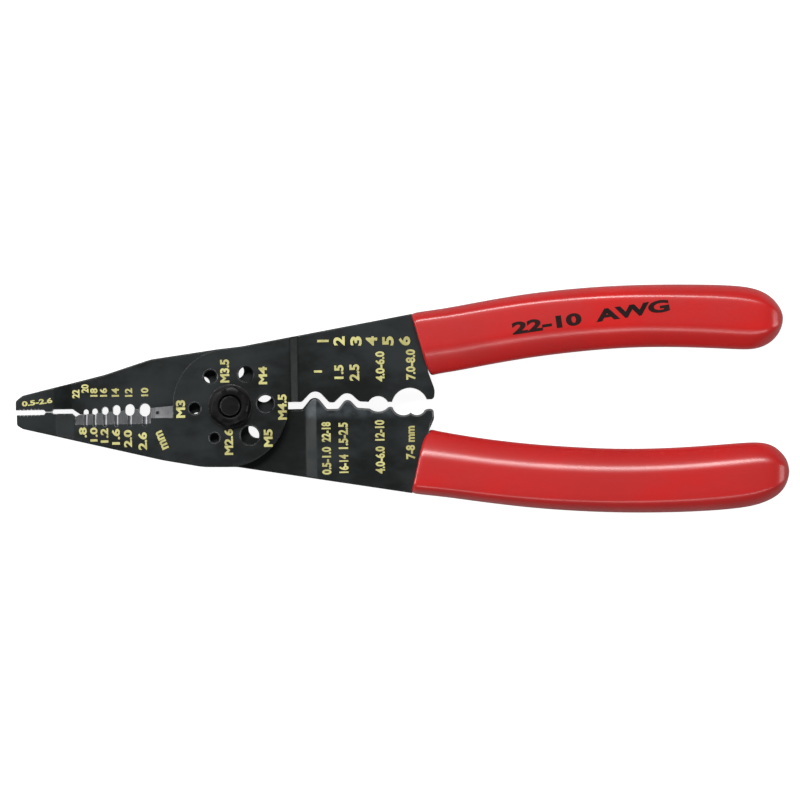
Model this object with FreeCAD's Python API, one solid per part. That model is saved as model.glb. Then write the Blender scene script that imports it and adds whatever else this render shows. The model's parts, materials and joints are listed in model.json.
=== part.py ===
import FreeCAD, Part
import math
import os

# Wire stripper and crimper: two stamped, joggled steel levers lapped on one shoulder screw, with vinyl grips.
# Everything is drawn round the pivot in millimetres, with the tool closed on its stop lugs: X runs from the
# nose to the grips, Y across the tool and Z out of its front face. place() then moves it into the part's frame.

V = FreeCAD.Vector

# ---- driving dimensions -------------------------------------------------------------------------------------
NOSE_X = -58.2              # tip of the plier nose
GRIP_END_X = 151.4          # end of the longer grip
HALF_WIDTH = 31.1           # half of the width over both grips
PLATE_T = 3.2               # thickness of both stamped levers
LAP_GAP = 0.1               # clearance between the lapped faces at the joint
LAP_Z = (PLATE_T + LAP_GAP) / 2
JOGGLE_R = 1.2              # bend radius of the joggles
EDGE_R = 0.35               # broken outer edges of the levers

GRIP_T = 10.4               # thickness of a vinyl grip
GRIP_EDGE_R = 4.6           # its nearly full-round edges
GRIP_MOUTH_R = 0.6

SHOULDER_R = 3.5            # shoulder of the pivot screw
RUNNING_CLEARANCE = 0.03
THREAD_R = 3.0              # M6 end of the screw
HEAD_R = 6.4
HEAD_SLOT = (1.3, 0.8)      # width and depth of the driver slot
SPRING_WASHER_T = 0.45
PLAIN_WASHER_R = 5.9
PLAIN_WASHER_T = 0.5
NUT_ACROSS_FLATS = 10.0
NUT_T = 2.2
THREAD_END = 0.3            # how far the screw stands out of the nut
WASHER_LIFT = 0.05          # running clearance under the plain washer

BOLT_CIRCLE_R = 9.6         # circle of the screw-shearing holes
SHEAR_ANGLE = 16.0          # the tool is opened this far to bring both levers' holes in line
SHEAR_START = 3.0           # angle of the first hole
SHEAR_HOLES = (4.5, 4.0, 3.5, 3.0, 2.6, 5.0)   # diameters every 60 degrees for M4.5 M4 M3.5 M3 M2.6 M5

# Stripping holes between the shear blades: centre x, centre y, width, height.
STRIP_HOLES = (
    (-39.2, -0.95, 1.4, 1.4),
    (-36.8, -0.90, 1.5, 1.6),
    (-34.0, -0.75, 1.7, 2.0),
    (-30.9, -0.60, 2.0, 2.7),
    (-27.3, -0.60, 2.5, 3.1),
    (-23.2, -0.70, 2.85, 3.4),
)
BLADE_START_X = -41.9
BLADE_END_X = -21.7         # the wire cutter takes over here
CUTTER_END_X = -15.6
BLADE_LAND = 1.1            # steel left at the blade's edge
CUTTER_LAND = 0.5
CRIMP_CHAMFER = 0.45        # ground edges of the crimping nests
NOSE_GROOVES = 6            # grip grooves across each half of the nose
NOSE_GROOVE_X = -57.0       # the first one
NOSE_GROOVE = (1.0, 0.28, 0.4)   # their pitch, depth and half width
HOLE_CHAMFER = 0.25
BEVEL_Y = -4.35             # foot of the ground bevel on the front lever
CUTTER_BEVEL_Y = -2.9


# ---- drawing helpers ----------------------------------------------------------------------------------------
def closed_wire(path, lift):
    """Closed wire from corners (x, y), rounded corners (x, y, r) and arcs ((mid x, mid y), (end x, end y))."""
    spots = []
    for step in path:
        if isinstance(step[0], tuple):
            spots.append((V(*step[1], 0), 0.0, V(*step[0], 0)))
        else:
            spots.append((V(step[0], step[1], 0), step[2] if len(step) > 2 else 0.0, None))
    corners = []
    for i, (here, radius, _) in enumerate(spots):
        if not radius:
            corners.append((here, here, None))
            continue
        back = (spots[i - 1][0] - here).normalize()
        on = (spots[(i + 1) % len(spots)][0] - here).normalize()
        half = back.getAngle(on) / 2
        reach = radius / math.tan(half)
        middle = here + (back + on).normalize() * (radius / math.sin(half) - radius)
        corners.append((here + back * reach, here + on * reach, middle))
    edges = []
    for i, (start, end, middle) in enumerate(corners):
        if middle is not None:
            edges.append(Part.Arc(lift(start), lift(middle), lift(end)).toShape())
        following = (i + 1) % len(corners)
        target, via = corners[following][0], spots[following][2]
        if via is not None:
            edges.append(Part.Arc(lift(end), lift(via), lift(target)).toShape())
        elif end.distanceToPoint(target) > 1e-6:
            edges.append(Part.LineSegment(lift(end), lift(target)).toShape())
    return Part.Wire(edges)


def slab(path, z_low, z_high):
    """Plan outline raised from z_low to z_high."""
    wire = closed_wire(path, lambda p: V(p.x, p.y, z_low))
    return Part.Face(wire).extrude(V(0, 0, z_high - z_low))


def side_profile(path, y_low, y_high):
    """Outline in X and Z swept across the tool along Y."""
    wire = closed_wire(path, lambda p: V(p.x, y_low, p.y))
    return Part.Face(wire).extrude(V(0, y_high - y_low, 0))


def cross_profile(path, x_low, x_high):
    """Outline in Y and Z swept along the tool."""
    wire = closed_wire(path, lambda p: V(x_low, p.x, p.y))
    return Part.Face(wire).extrude(V(x_high - x_low, 0, 0))


def rod(x, y, radius, z_low, z_high):
    return Part.makeCylinder(radius, z_high - z_low, V(x, y, z_low))


def ring(inner, outer, z_low, z_high):
    return rod(0, 0, outer, z_low, z_high).cut(rod(0, 0, inner, z_low - 1, z_high + 1))


def fuse_all(shapes):
    whole = shapes[0]
    for shape in shapes[1:]:
        whole = whole.fuse(shape)
    return whole


def place(shape):
    """From the pivot to the part's frame: centred in X and Y, standing on Z = 0."""
    moved = shape.copy()
    moved.translate(V(-(NOSE_X + GRIP_END_X) / 2, 0, GRIP_T / 2))
    return moved


# ---- levers -------------------------------------------------------------------------------------------------
def joggled_sheet(nose_joggle, handle_joggle, side):
    """Plate of constant thickness, on the middle plane at both ends and lifted to one side at the joint."""
    lift = LAP_Z * side
    half = PLATE_T / 2
    line = [(-70, 0), (nose_joggle[0], 0), (nose_joggle[1], lift)]
    line += [(handle_joggle[0], lift), (handle_joggle[1], 0)]
    front = [(x, z + half, JOGGLE_R) for x, z in line[1:]]
    back = [(x, z - half, JOGGLE_R) for x, z in reversed(line[1:])]
    path = [(-70, half)] + front + [(170, half), (170, -half)] + back + [(-70, -half)]
    return side_profile(path, -40, 40)


def tang(side):
    """Corners of the handle inside its grip, from the outer shoulder round the end to the inner shoulder."""
    corners = [
        (50.4, 21.4, 1.0),
        (78.0, 26.2, 60.0),
        (112.0, 28.4, 80.0),
        (145.2, 27.4, 5.5),
        (145.2, 16.0, 5.5),
        (110.0, 16.8, 80.0),
        (78.0, 13.6, 60.0),
        (53.6, 9.5, 1.0),
    ]
    return [(x, side * y, r) for x, y, r in corners]


# Working edge of the upper handle, from the joint to the grip: four crimping nests and the heel.
UPPER_CRIMP = [
    (19.4, 0.72, 1.2),
    (23.1, 4.6, 2.4),
    (26.85, 0.45, 1.0),
    (28.2, 0.45, 1.0),
    (31.63, 3.7, 2.3),
    (35.0, 0.6, 1.5),
    (37.5, 0.45),
    ((40.1, 1.93), (42.7, 0.32)),
    (43.9, 0.32),
    ((48.8, 4.03), (53.3, 0.85)),
    (55.25, 0.85, 1.0),
    (55.6, 3.2, 4.0),
    (54.2, 7.2),
]
LOWER_CRIMP = [
    (19.55, -1.15, 0.8),
    (22.92, 2.93, 1.9),
    (26.22, -1.27, 0.8),
    (29.25, -1.27, 0.8),
    (31.71, 1.87, 1.45),
    (34.4, -1.05, 1.0),
    (37.8, -1.35),
    ((40.4, -2.2), (42.7, -1.15)),
    ((43.3, -0.95), (44.0, -1.15)),
    ((46.7, -3.3), (48.9, -2.6)),
    ((50.85, -3.3), (52.7, -2.0)),
    (53.4, -1.68, 0.5),
    (55.1, -1.68, 1.0),
    (55.3, -4.2, 3.0),
    (53.9, -7.3),
]


def reversed_path(path):
    """The same outline walked the other way."""
    back = []
    for i in range(len(path) - 1, -1, -1):
        step = path[i]
        end = step[1] if isinstance(step[0], tuple) else step
        following = path[i + 1] if i + 1 < len(path) else None
        if following is not None and isinstance(following[0], tuple):
            back.append((following[0], end[:2]))
        else:
            back.append(end)
    return back


def front_outline():
    """Lower jaw, joint disc and upper handle."""
    jaw = [
        (-57.95, -1.5),
        (-50.5, -1.5, 0.3),
        (-50.1, -0.87, 0.25),
        (-48.4, -0.87, 0.25),
        (-48.1, -1.27, 0.25),
        (-42.9, -1.3, 0.3),
        (-41.95, -2.2, 0.25),
        (-41.1, -1.7),
        (-15.6, 0.3),
    ]
    joint_top = [((-11.1, 11.3), (-1.0, 15.65))]
    top = [
        (3.3, 16.1, 8.0),
        (49.7, 24.15),
    ]
    handle = tang(1)
    heel = reversed_path(UPPER_CRIMP)
    joint_bottom = [
        (15.7, 0.72),
        ((11.3, -11.25), (-0.5, -16.55)),
    ]
    bottom = [
        (-7.5, -16.45, 20.0),
        (-18.5, -14.4, 25.0),
        (-56.3, -5.3, 1.5),
        (-57.95, -4.3, 1.0),
    ]
    return jaw + joint_top + top + handle + heel + joint_bottom + bottom


def rear_outline():
    """Upper jaw, joint disc and lower handle."""
    jaw = [
        (-58.2, -0.25),
        (-50.5, -0.25, 0.3),
        (-50.1, -0.77, 0.25),
        (-48.4, -0.77, 0.25),
        (-48.0, -0.15, 0.25),
        (-42.8, -0.15, 0.3),
        (-40.8, -1.6),
        (-15.2, -2.3),
    ]
    joint_bottom = [((-11.6, -11.4), (-1.5, -16.55))]
    bottom = [
        (1.5, -16.6, 8.0),
        (48.9, -24.5),
    ]
    handle = tang(-1)
    heel = reversed_path(LOWER_CRIMP)
    joint_top = [
        (15.4, -1.15),
        ((11.1, 10.9), (2.0, 15.85)),
    ]
    top = [
        (-3.0, 15.5, 20.0),
        (-21.5, 13.0, 14.0),
        (-34.0, 9.05, 30.0),
        (-56.3, 3.75, 1.6),
        (-58.2, 2.3, 1.2),
    ]
    return jaw + joint_bottom + bottom + handle + heel + joint_top + top


def blade_bevel(foot_y, edge_y, land, x_low, x_high, side):
    """Wedge ground off a blade from its outer face down to the land at the cutting edge."""
    face = LAP_GAP / 2 + PLATE_T
    low = LAP_GAP / 2 + land
    slope = (face - low) / (edge_y - foot_y)
    over = 0.5
    reach = edge_y + math.copysign(6.0, edge_y - foot_y)
    path = [
        (foot_y - over / slope, side * (face + over)),
        (reach, side * (face - slope * (reach - foot_y))),
        (reach, side * (face + over)),
    ]
    return cross_profile(path, x_low, x_high)


def strip_notch(x, y, width, up):
    """Round-ended slot open toward the mating blade."""
    half = width / 2
    reach = 5.0 if up else -5.0
    tip = y - half if up else y + half
    return slab([(x - half, y + reach), (x - half, y), ((x, tip), (x + half, y)), (x + half, y + reach)], -6, 6)


def shear_holes(turn, side):
    """The six screw-shearing holes as one cutter, countersunk on the lever's outer face."""
    face = side * (LAP_GAP / 2 + PLATE_T)
    holes = []
    for i, size in enumerate(SHEAR_HOLES):
        angle = math.radians(SHEAR_START + 60.0 * i + turn)
        x = BOLT_CIRCLE_R * math.cos(angle)
        y = BOLT_CIRCLE_R * math.sin(angle)
        sink = size / 2 + HOLE_CHAMFER
        holes.append(rod(x, y, size / 2, -6, 6))
        holes.append(Part.makeCone(sink, 0, sink, V(x, y, face), V(0, 0, -side)))
    return fuse_all(holes)


def break_outer_edges(lever):
    """Rounds the edges along the tool's outside, and leaves the working edges sharp."""
    rims = []
    for wall in lever.Faces:
        middle = wall.CenterOfMass
        u0, u1, v0, v1 = wall.ParameterRange
        upright = abs(wall.normalAt((u0 + u1) / 2, (v0 + v1) / 2).z) < 1e-6
        if not upright or middle.x > 49.0 or abs(middle.y) < max(3.5, 8.0 + 0.15 * middle.x):
            continue
        rims += [e for e in wall.Edges if e.BoundBox.XLength > 0.3]
    return lever.makeFillet(EDGE_R, rims)


def chamfer_crimps(lever):
    """Grinds both long edges of every wall along the lower crimping nests."""
    rims = []
    for wall in lever.Faces:
        middle = wall.CenterOfMass
        u0, u1, v0, v1 = wall.ParameterRange
        upright = abs(wall.normalAt((u0 + u1) / 2, (v0 + v1) / 2).z) < 1e-6
        if upright and 24.0 < middle.x < 55.3 and abs(middle.y) < 5.0:
            rims += [e for e in wall.Edges if e.BoundBox.ZLength < 0.1 and e.BoundBox.XMin > 19.0]
    return lever.makeChamfer(CRIMP_CHAMFER, rims)


def nose_grooves(y, up):
    """Row of V grooves across one gripping pad of the nose."""
    pitch, depth, half = NOSE_GROOVE
    into = depth if up else -depth
    cuts = []
    for i in range(NOSE_GROOVES):
        x = NOSE_GROOVE_X + pitch * i
        vee = [(x - half, y - into), (x, y + into), (x + half, y - into)]
        cuts.append(slab(vee, -6, 6))
    return fuse_all(cuts)


def front_lever():
    lever = slab(front_outline(), -6, 6).common(joggled_sheet((-47.5, -42.3), (16.5, 18.5), 1))
    lever = break_outer_edges(lever.removeSplitter())
    lever = lever.cut(blade_bevel(BEVEL_Y, -0.9, BLADE_LAND, BLADE_START_X, BLADE_END_X, 1))
    lever = lever.cut(blade_bevel(CUTTER_BEVEL_Y, 0.3, CUTTER_LAND, BLADE_END_X, CUTTER_END_X, 1))
    for x, y, width, height in STRIP_HOLES:
        lever = lever.cut(strip_notch(x, y - (height - width) / 2, width, True))
        groove = Part.makeCylinder(0.28 + 0.1 * width, 6.0, V(x, -0.9, 1.15), V(0, -3.45, 2.15))
        lever = lever.cut(groove)
    lever = lever.cut(rod(-19.7, -1.55, 0.55, 1.6, 4))
    lever = lever.cut(nose_grooves(-1.5, False))
    return lever.cut(rod(0, 0, SHOULDER_R + RUNNING_CLEARANCE, -6, 6)).cut(shear_holes(0.0, 1))


def rear_lever():
    lever = slab(rear_outline(), -6, 6).common(joggled_sheet((-47.8, -43.0), (20.2, 23.4), -1))
    lever = chamfer_crimps(break_outer_edges(lever.removeSplitter()))
    lever = lever.cut(blade_bevel(2.6, -1.9, BLADE_LAND, BLADE_START_X, CUTTER_END_X, -1))
    for x, y, width, height in STRIP_HOLES:
        lever = lever.cut(strip_notch(x, y + (height - width) / 2, width, False))
    lever = lever.cut(nose_grooves(-0.25, True))
    return lever.cut(rod(0, 0, SHOULDER_R + RUNNING_CLEARANCE, -6, 6)).cut(shear_holes(SHEAR_ANGLE, -1))


# ---- grips --------------------------------------------------------------------------------------------------
UPPER_GRIP = [
    (49.0, 23.95), (57.3, 25.2), (73.6, 28.0), (90.0, 30.0), (111.7, 31.1), (133.4, 30.75), (142.3, 29.9),
    (148.2, 26.8), (150.4, 21.9), (148.6, 16.4), (143.0, 13.0), (131.7, 13.4), (110.8, 14.1), (89.7, 12.6),
    (73.3, 10.4), (54.0, 7.0),
]
LOWER_GRIP = [
    (48.2, -24.2), (56.4, -25.4), (72.7, -27.9), (88.9, -29.8), (110.1, -31.0), (127.4, -31.0), (139.5, -30.1),
    (147.2, -27.5), (151.2, -22.0), (150.3, -16.8), (144.0, -12.5), (136.4, -12.6), (120.8, -13.4),
    (104.0, -13.5), (89.2, -12.4), (73.0, -10.6), (53.2, -7.1),
]
UPPER_MOUTH = [(49.7, 24.15), (54.2, 7.2)]
LOWER_MOUTH = [(48.9, -24.5), (51.4, -11.3), (53.9, -7.3)]


def grip(points, mouth):
    """Dipped vinyl sleeve: a flat-faced, round-edged bar cut off on a slant at its mouth."""
    run = V(*points[1], 0) - V(*points[0], 0)
    lead_in = V(*points[0], 0) - run
    run_out = V(*points[-1], 0) - (V(*points[-2], 0) - V(*points[-1], 0)) * 0.45
    curve = Part.BSplineCurve()
    curve.interpolate([lead_in] + [V(*p, 0) for p in points] + [run_out])
    closing = Part.LineSegment(run_out, lead_in)
    face = Part.Face(Part.Wire([curve.toShape(), closing.toShape()]))
    bar = face.extrude(V(0, 0, GRIP_T))
    bar.translate(V(0, 0, -GRIP_T / 2))
    rims = [e for e in bar.Edges if abs(e.BoundBox.ZLength) < 1e-6 and e.Length > 60]
    bar = bar.makeFillet(GRIP_EDGE_R, rims)
    side = math.copysign(1, points[0][1])
    clear_x, clear_y = 30.0, side * 40.0
    beyond = [(clear_x, 0.0), (clear_x, clear_y), (mouth[0][0], clear_y)] + mouth + [(mouth[-1][0], 0.0)]
    return bar.cut(slab(beyond, -10, 10))


# ---- pivot --------------------------------------------------------------------------------------------------
def pivot_screw():
    back = -(LAP_GAP / 2 + PLATE_T)
    shoulder_top = -back + WASHER_LIFT
    head = rod(0, 0, HEAD_R, -GRIP_T / 2, back - SPRING_WASHER_T)
    rim = [e for e in head.Edges if abs(e.BoundBox.ZMin + GRIP_T / 2) < 1e-6 and e.BoundBox.ZLength < 1e-6]
    head = head.makeChamfer(0.35, rim)
    width, depth = HEAD_SLOT
    slot = Part.makeBox(2 * HEAD_R + 2, width, depth + 1, V(-HEAD_R - 1, -width / 2, -GRIP_T / 2 - 1))
    shoulder = rod(0, 0, SHOULDER_R, back - SPRING_WASHER_T, shoulder_top)
    end_z = shoulder_top + PLAIN_WASHER_T + NUT_T + THREAD_END
    thread = rod(0, 0, THREAD_R, shoulder_top, end_z)
    tip = [e for e in thread.Edges if abs(e.BoundBox.ZMin - end_z) < 1e-6]
    thread = thread.makeChamfer(0.4, tip)
    return fuse_all([head.cut(slot), shoulder, thread])


def spring_washer():
    back = -(LAP_GAP / 2 + PLATE_T)
    return ring(SHOULDER_R + RUNNING_CLEARANCE, HEAD_R + 0.2, back - SPRING_WASHER_T, back)


def plain_washer():
    low = LAP_GAP / 2 + PLATE_T + WASHER_LIFT
    return ring(THREAD_R + 0.02, PLAIN_WASHER_R, low, low + PLAIN_WASHER_T)


def pivot_nut():
    low = LAP_GAP / 2 + PLATE_T + WASHER_LIFT + PLAIN_WASHER_T
    corner = NUT_ACROSS_FLATS / math.sqrt(3)
    turns = [math.radians(a) for a in range(20, 380, 60)]
    hexagon = [(corner * math.cos(a), corner * math.sin(a)) for a in turns]
    nut = slab(hexagon, low, low + NUT_T)
    # Both faces are turned to a cone that takes the points off the corners.
    cone_h = 10.0
    inner = NUT_ACROSS_FLATS / 2 - 0.1
    run = math.tan(math.radians(30))
    upper = Part.makeCone(inner + (NUT_T + cone_h) / run, inner, NUT_T + cone_h, V(0, 0, low - cone_h))
    lower = Part.makeCone(inner, inner + (NUT_T + cone_h) / run, NUT_T + cone_h, V(0, 0, low))
    return nut.common(upper).common(lower).cut(rod(0, 0, THREAD_R + 0.02, 0, 20))


# ---- build --------------------------------------------------------------------------------------------------
def main():
    front = front_lever()
    rear = rear_lever()
    nodes = {
        "front_lever": front,
        "rear_lever": rear,
        "upper_grip": grip(UPPER_GRIP, UPPER_MOUTH).cut(front),
        "lower_grip": grip(LOWER_GRIP, LOWER_MOUTH).cut(rear),
        "pivot_screw": pivot_screw(),
        "spring_washer": spring_washer(),
        "plain_washer": plain_washer(),
        "pivot_nut": pivot_nut(),
    }
    os.makedirs("parts", exist_ok=True)
    for name, shape in nodes.items():
        solid = place(shape.removeSplitter())
        if len(solid.Solids) != 1 or not solid.isValid():
            raise RuntimeError(f"{name} is not one valid solid")
        box = solid.BoundBox
        spans = [round(v, 2) for v in (box.XMin, box.XMax, box.YMin, box.YMax, box.ZMin, box.ZMax)]
        print(name, len(solid.Faces), spans)
        solid.exportStep(f"parts/{name}.step")


main()
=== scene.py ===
"""Visual model of a wire stripper and crimper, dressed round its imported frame.

Lengths in the classes are millimetres from the pivot's axis and the levers' middle plane: X runs from
the nose to the grips, Y towards the upper grip and Z out of the front face.
"""
import json
import logging
import math
from collections.abc import Sequence
from dataclasses import dataclass, field
from enum import Enum

import bmesh
import bpy
from mathutils import Matrix, Vector


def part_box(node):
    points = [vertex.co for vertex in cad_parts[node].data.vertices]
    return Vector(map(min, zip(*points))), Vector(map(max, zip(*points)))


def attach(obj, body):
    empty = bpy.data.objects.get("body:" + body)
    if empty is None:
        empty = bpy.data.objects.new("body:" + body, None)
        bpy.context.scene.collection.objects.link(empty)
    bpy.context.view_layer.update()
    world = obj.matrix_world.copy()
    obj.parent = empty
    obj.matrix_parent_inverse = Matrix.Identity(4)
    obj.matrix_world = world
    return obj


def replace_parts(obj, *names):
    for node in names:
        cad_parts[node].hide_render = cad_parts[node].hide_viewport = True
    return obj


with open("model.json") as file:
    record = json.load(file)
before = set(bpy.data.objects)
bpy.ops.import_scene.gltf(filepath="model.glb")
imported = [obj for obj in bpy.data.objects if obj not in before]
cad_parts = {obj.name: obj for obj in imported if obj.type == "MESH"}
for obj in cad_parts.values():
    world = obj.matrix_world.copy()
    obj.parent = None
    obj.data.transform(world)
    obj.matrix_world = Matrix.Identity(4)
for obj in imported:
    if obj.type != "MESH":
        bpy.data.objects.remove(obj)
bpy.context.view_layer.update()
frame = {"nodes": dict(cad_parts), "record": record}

LOG = logging.getLogger("wire_stripper")
MM = 0.001
PIVOT = Vector(frame["record"]["behaviour"]["joints"][0]["pos_m"])
Point = tuple[float, float]
Colour = tuple[float, float, float, float]


class Half(Enum):
    """The two rigid halves that turn about the pivot screw."""

    FRONT = "front_half"
    REAR = "rear_half"


class Slot(Enum):
    """The record's finishes."""

    STEEL = "lever_steel"
    VINYL = "grip_vinyl"
    PIVOT = "pivot_steel"


def height_of(spot: Vector) -> float:
    """Millimetres of a frame point above the levers' middle plane."""
    return (spot.z - PIVOT.z) / MM


def to_frame() -> Matrix:
    """The move from millimetres about the pivot to the frame in metres."""
    return Matrix.Translation(PIVOT) @ Matrix.Scale(MM, 4)


# ---- shader helpers --------------------------------------------------------------------------------------


class Sketch:
    """Short calls for adding nodes to a tree and joining them."""

    def __init__(self, tree: bpy.types.NodeTree) -> None:
        """Keeps the tree.

        Args:
            tree: the material's or group's node tree.
        """
        self.tree = tree

    def put(self, value: object, socket: bpy.types.NodeSocket) -> None:
        """Links a socket to a socket, or sets its value.

        Args:
            value: an output socket, or a plain number, vector or colour.
            socket: the input that takes it.
        """
        if isinstance(value, bpy.types.NodeSocket):
            self.tree.links.new(value, socket)
        else:
            socket.default_value = value

    def add(self, kind: str, sockets: dict | None = None, **settings: object) -> bpy.types.Node:
        """Adds one node.

        Args:
            kind: the node's type name.
            sockets: inputs by name or number.
            settings: the node's own properties.

        Returns:
            The new node.
        """
        node = self.tree.nodes.new(kind)
        for name, value in settings.items():
            setattr(node, name, value)
        for name, value in (sockets or {}).items():
            self.put(value, node.inputs[name])
        return node

    def math(self, operation: str, a: object, b: object = 0.0, clamp: bool = False) -> bpy.types.NodeSocket:
        """Joins two numbers by one operation.

        Args:
            operation: the sum's name.
            a: the first number.
            b: the second number.
            clamp: whether the result stays between 0 and 1.

        Returns:
            The result's socket.
        """
        return self.add("ShaderNodeMath", {0: a, 1: b}, operation=operation, use_clamp=clamp).outputs[0]

    def span(self, value: object, low: float, high: float, to_low: float = 0.0,
             to_high: float = 1.0) -> bpy.types.NodeSocket:
        """Maps low..high onto to_low..to_high with soft ends.

        Args:
            value: the number's socket.
            low: where the result starts to change.
            high: where it stops; below low for a falling result.
            to_low: the result at low.
            to_high: the result at high.

        Returns:
            The result's socket.
        """
        sockets = {"Value": value, "From Min": low, "From Max": high, "To Min": to_low, "To Max": to_high}
        return self.add("ShaderNodeMapRange", sockets, interpolation_type="SMOOTHSTEP").outputs[0]

    def mix(self, share: object, first: object, second: object) -> bpy.types.NodeSocket:
        """Mixes two colours.

        Args:
            share: how much of the second.
            first: the first colour.
            second: the second colour.

        Returns:
            The colour's socket.
        """
        return self.add("ShaderNodeMix", {0: share, 6: first, 7: second}, data_type="RGBA").outputs[2]

    def place(self, stretch: tuple[float, float, float] = (1.0, 1.0, 1.0)) -> bpy.types.NodeSocket:
        """The object's own coordinates.

        Args:
            stretch: a scale for each axis.

        Returns:
            The coordinates' socket.
        """
        spot = self.add("ShaderNodeTexCoord").outputs["Object"]
        return self.add("ShaderNodeMapping", {"Vector": spot, "Scale": stretch}).outputs[0]

    def noise(self, spot: object, scale: object, detail: float = 3.0,
              roughness: float = 0.5) -> bpy.types.NodeSocket:
        """A fractal noise value.

        Args:
            spot: where it is read.
            scale: features to the metre.
            detail: octaves.
            roughness: weight of the finer octaves.

        Returns:
            The value's socket.
        """
        sockets = {"Vector": spot, "Scale": scale, "Detail": detail, "Roughness": roughness}
        return self.add("ShaderNodeTexNoise", sockets).outputs[0]


def new_group(name: str, inputs: dict[str, float],
              outputs: Sequence[str]) -> tuple[bpy.types.NodeTree, Sketch, dict, bpy.types.Node]:
    """Starts a shader node group of plain numbers.

    Args:
        name: the group's name.
        inputs: input names and their usual values.
        outputs: output names.

    Returns:
        The tree, its sketch, the input sockets by name and the output node.
    """
    tree = bpy.data.node_groups.new(name, "ShaderNodeTree")
    for label, usual in inputs.items():
        socket = tree.interface.new_socket(name=label, in_out="INPUT", socket_type="NodeSocketFloat")
        socket.default_value = usual
    for label in outputs:
        tree.interface.new_socket(name=label, in_out="OUTPUT", socket_type="NodeSocketFloat")
    entry = tree.nodes.new("NodeGroupInput")
    leave = tree.nodes.new("NodeGroupOutput")
    return tree, Sketch(tree), {label: entry.outputs[label] for label in inputs}, leave


class Effects:
    """The wear, painted edge highlight and grain effects that several finishes share."""

    def __init__(self) -> None:
        """Builds every group once."""
        self.edge_wear_and_highlight = self._edge_wear_and_highlight()
        self.handling = self._handling()
        self.grain = self._grain()

    @staticmethod
    def _edge_wear_and_highlight() -> bpy.types.NodeTree:
        """Mask of rubbed edges, partly real wear and partly a painted highlight on them: where a rounded
        normal leaves the real one, broken up by noise.

        Returns:
            The node group.
        """
        tree, sketch, given, leave = new_group("edge_wear_and_highlight", {"Reach": 0.0003, "Amount": 0.5}, ["Mask"])
        # Every edge is brightened towards bare steel: partly real wear, partly a painted highlight that the
        # edges would catch.
        rounded = sketch.add("ShaderNodeBevel", {"Radius": given["Reach"]}, samples=6).outputs[0]
        real = sketch.add("ShaderNodeNewGeometry").outputs["Normal"]
        compared = sketch.add("ShaderNodeVectorMath", {0: rounded, 1: real}, operation="DOT_PRODUCT")
        turn = sketch.span(compared.outputs["Value"], 0.995, 0.86)
        spot = sketch.place()
        patches = sketch.span(sketch.noise(spot, 260.0, 4.0, 0.6), 0.36, 0.62)
        nicks = sketch.span(sketch.noise(spot, 1900.0, 2.0, 0.5), 0.40, 0.58)
        broken = sketch.math("MULTIPLY", patches, sketch.math("ADD", nicks, 0.35, clamp=True))
        mask = sketch.math("MULTIPLY", sketch.math("MULTIPLY", turn, broken), given["Amount"], clamp=True)
        sketch.put(mask, leave.inputs["Mask"])
        return tree

    @staticmethod
    def _handling() -> bpy.types.NodeTree:
        """Smears and specks that handling leaves: a slow mask and a fine one.

        Returns:
            The node group.
        """
        tree, sketch, given, leave = new_group("handling", {"Size": 60.0}, ["Smears", "Specks"])
        spot = sketch.place((0.6, 1.0, 1.0))
        smears = sketch.noise(spot, given["Size"], 5.0, 0.62)
        sketch.put(sketch.span(smears, 0.32, 0.70), leave.inputs["Smears"])
        specks = sketch.noise(spot, sketch.math("MULTIPLY", given["Size"], 34.0), 2.0, 0.5)
        sketch.put(sketch.span(specks, 0.60, 0.74), leave.inputs["Specks"])
        return tree

    @staticmethod
    def _grain() -> bpy.types.NodeTree:
        """Height of fine surface-grinding lines that run along the tool.

        Returns:
            The node group.
        """
        tree, sketch, given, leave = new_group("grain", {"Scale": 900.0}, ["Height"])
        lines = sketch.noise(sketch.place((0.06, 1.0, 1.0)), given["Scale"], 3.0, 0.65)
        pits = sketch.noise(sketch.place(), sketch.math("MULTIPLY", given["Scale"], 2.6), 2.0, 0.5)
        sketch.put(sketch.math("ADD", lines, sketch.math("MULTIPLY", pits, 0.5)), leave.inputs["Height"])
        return tree


def new_material(name: str) -> tuple[bpy.types.Material, Sketch, bpy.types.Node]:
    """Starts a material with its one Principled shader.

    Args:
        name: the material's name.

    Returns:
        The material, its sketch and the shader node.
    """
    material = bpy.data.materials.new(name)
    material.use_nodes = True
    material.node_tree.nodes.clear()
    sketch = Sketch(material.node_tree)
    surface = sketch.add("ShaderNodeBsdfPrincipled")
    end = sketch.add("ShaderNodeOutputMaterial")
    sketch.put(surface.outputs[0], end.inputs["Surface"])
    return material, sketch, surface


@dataclass(frozen=True)
class Region:
    """A box in millimetres about the pivot where ground or rubbed steel shows.

    Attributes:
        x: where it starts and ends along the tool.
        y: where it starts and ends across the tool.
        strength: how much of the oxide is gone.
        groove_highlight: strength of the highlight painted on its groove walls that face the left.
        fade: margin over which it fades in.
    """

    x: Point
    y: Point
    strength: float = 1.0
    groove_highlight: float = 0.0
    fade: float = 0.05

    def inside(self, sketch: Sketch, axes: bpy.types.Node) -> bpy.types.NodeSocket:
        """Mask of the box, fading in over its margin.

        Args:
            sketch: the material's sketch.
            axes: the node that splits the object coordinates.

        Returns:
            The mask's socket.
        """
        result: object = 1.0
        for axis, (low, high), centre in (("X", self.x, PIVOT.x), ("Y", self.y, PIVOT.y)):
            spot = axes.outputs[axis]
            rise = sketch.span(spot, centre + low * MM, centre + (low + self.fade) * MM)
            fall = sketch.span(spot, centre + high * MM, centre + (high - self.fade) * MM)
            result = sketch.math("MULTIPLY", result, sketch.math("MULTIPLY", rise, fall))
        return result


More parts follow.
